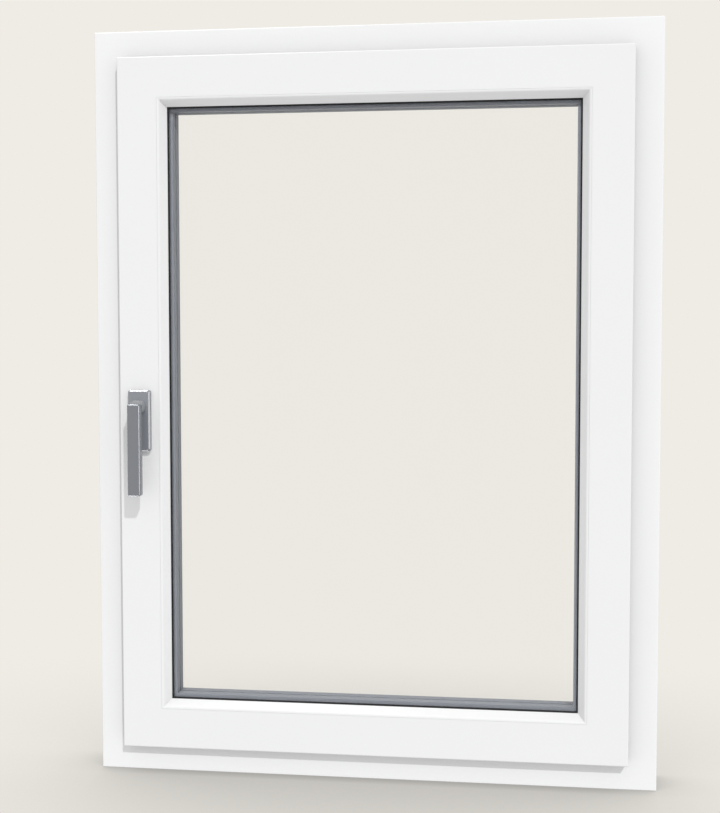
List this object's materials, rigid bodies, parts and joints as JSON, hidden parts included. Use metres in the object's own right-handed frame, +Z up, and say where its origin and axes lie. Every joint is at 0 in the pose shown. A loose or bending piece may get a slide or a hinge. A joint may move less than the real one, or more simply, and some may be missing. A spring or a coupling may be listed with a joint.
{
  "type": "tilt and turn window",
  "caption": "White plastic tilt and turn window: mitred frame and sash, triple glazing, concealed hinges, tilt stay and a grey lever handle.",
  "frame": {"origin": "middle of the frame's underside, half way through its depth", "axes": "+X to the right seen from the room, +Y towards the outside, +Z up"},
  "size_m": [0.9, 0.1545, 1.2],
  "materials": {
    "white_profile": "satin white",
    "seal_rubber": "black seal",
    "clear_glass": "clear",
    "spacer_grey": "grey warm edge",
    "handle_grey": "titanium grey",
    "zinc_steel": "zinc plated"
  },
  "bodies": {
    "frame": {"frame_sill": "white_profile", "frame_head": "white_profile", "frame_lock_jamb": "white_profile", "frame_hinge_jamb": "white_profile", "frame_seal": "seal_rubber", "lock_strikers": "zinc_steel", "head_striker": "zinc_steel", "sill_striker": "zinc_steel", "drain_caps": "white_profile", "lower_hinge_frame_plate": "zinc_steel", "upper_hinge_frame_plate": "zinc_steel"},
    "tilt_bracket": {"lower_tilt_bracket": "zinc_steel"},
    "lower_arm": {"lower_hinge_arm": "zinc_steel"},
    "sash": {"sash_bottom_rail": "white_profile", "sash_top_rail": "white_profile", "sash_lock_stile": "white_profile", "sash_hinge_stile": "white_profile", "glazing_bead_bottom": "white_profile", "glazing_bead_top": "white_profile", "glazing_bead_left": "white_profile", "glazing_bead_right": "white_profile", "inner_gasket": "seal_rubber", "outer_gasket": "seal_rubber", "inner_pane": "clear_glass", "middle_pane": "clear_glass", "outer_pane": "clear_glass", "inner_spacer": "spacer_grey", "outer_spacer": "spacer_grey", "sash_seal": "seal_rubber", "lock_faceplate": "zinc_steel", "top_faceplate": "zinc_steel", "bottom_faceplate": "zinc_steel", "hinge_faceplate": "zinc_steel", "locking_cams": "zinc_steel", "lower_hinge_sash_plate": "zinc_steel", "handle_rosette": "handle_grey"},
    "handle": {"handle_hub": "handle_grey", "handle_grip": "handle_grey"},
    "upper_arm": {"upper_hinge_arm": "zinc_steel"},
    "upper_block": {"upper_hinge_block": "zinc_steel"},
    "stay": {"stay_arm": "zinc_steel", "stay_slide_pin": "zinc_steel"}
  },
  "joints": [
    {"name": "sash_turn", "type": "hinge", "parent": "frame", "child": "tilt_bracket", "pos_m": [0.407, -0.0465, 0.057], "axis": [0, 0, 1], "range_deg": [0, 95]},
    {"name": "lower_arm_turn", "type": "hinge", "parent": "tilt_bracket", "child": "lower_arm", "pos_m": [0.375, -0.026, 0.057], "axis": [0, 0, -1], "range_deg": [0, 142.5]},
    {"name": "sash_tilt", "type": "hinge", "parent": "tilt_bracket", "child": "sash", "pos_m": [0.34, -0.0385, 0.0588], "axis": [-1, 0, 0], "range_deg": [-7, 0]},
    {"name": "handle_turn", "type": "hinge", "parent": "sash", "child": "handle", "pos_m": [-0.3713, -0.08, 0.6], "axis": [0, 1, 0], "range_deg": [-180, 0]},
    {"name": "upper_block_turn", "type": "hinge", "parent": "frame", "child": "upper_block", "pos_m": [0.407, -0.0465, 1.143], "axis": [0, 0, 1], "range_deg": [0, 95]},
    {"name": "upper_arm_turn", "type": "hinge", "parent": "upper_block", "child": "upper_arm", "pos_m": [0.375, -0.026, 1.143], "axis": [0, 0, -1], "range_deg": [0, 142.5]},
    {"name": "stay_swing", "type": "hinge", "parent": "upper_block", "child": "stay", "pos_m": [0.345, -0.026, 1.138], "axis": [0, 0, 1], "range_deg": [0, 22.1]}
  ],
  "couplings": [
    {"joint": "lower_arm_turn", "follows": "sash_turn", "ratio": 1.5},
    {"joint": "upper_block_turn", "follows": "sash_turn", "ratio": 1},
    {"joint": "upper_arm_turn", "follows": "sash_turn", "ratio": 1.5},
    {"joint": "stay_swing", "follows": "sash_tilt", "ratio": -3.14}
  ]
}
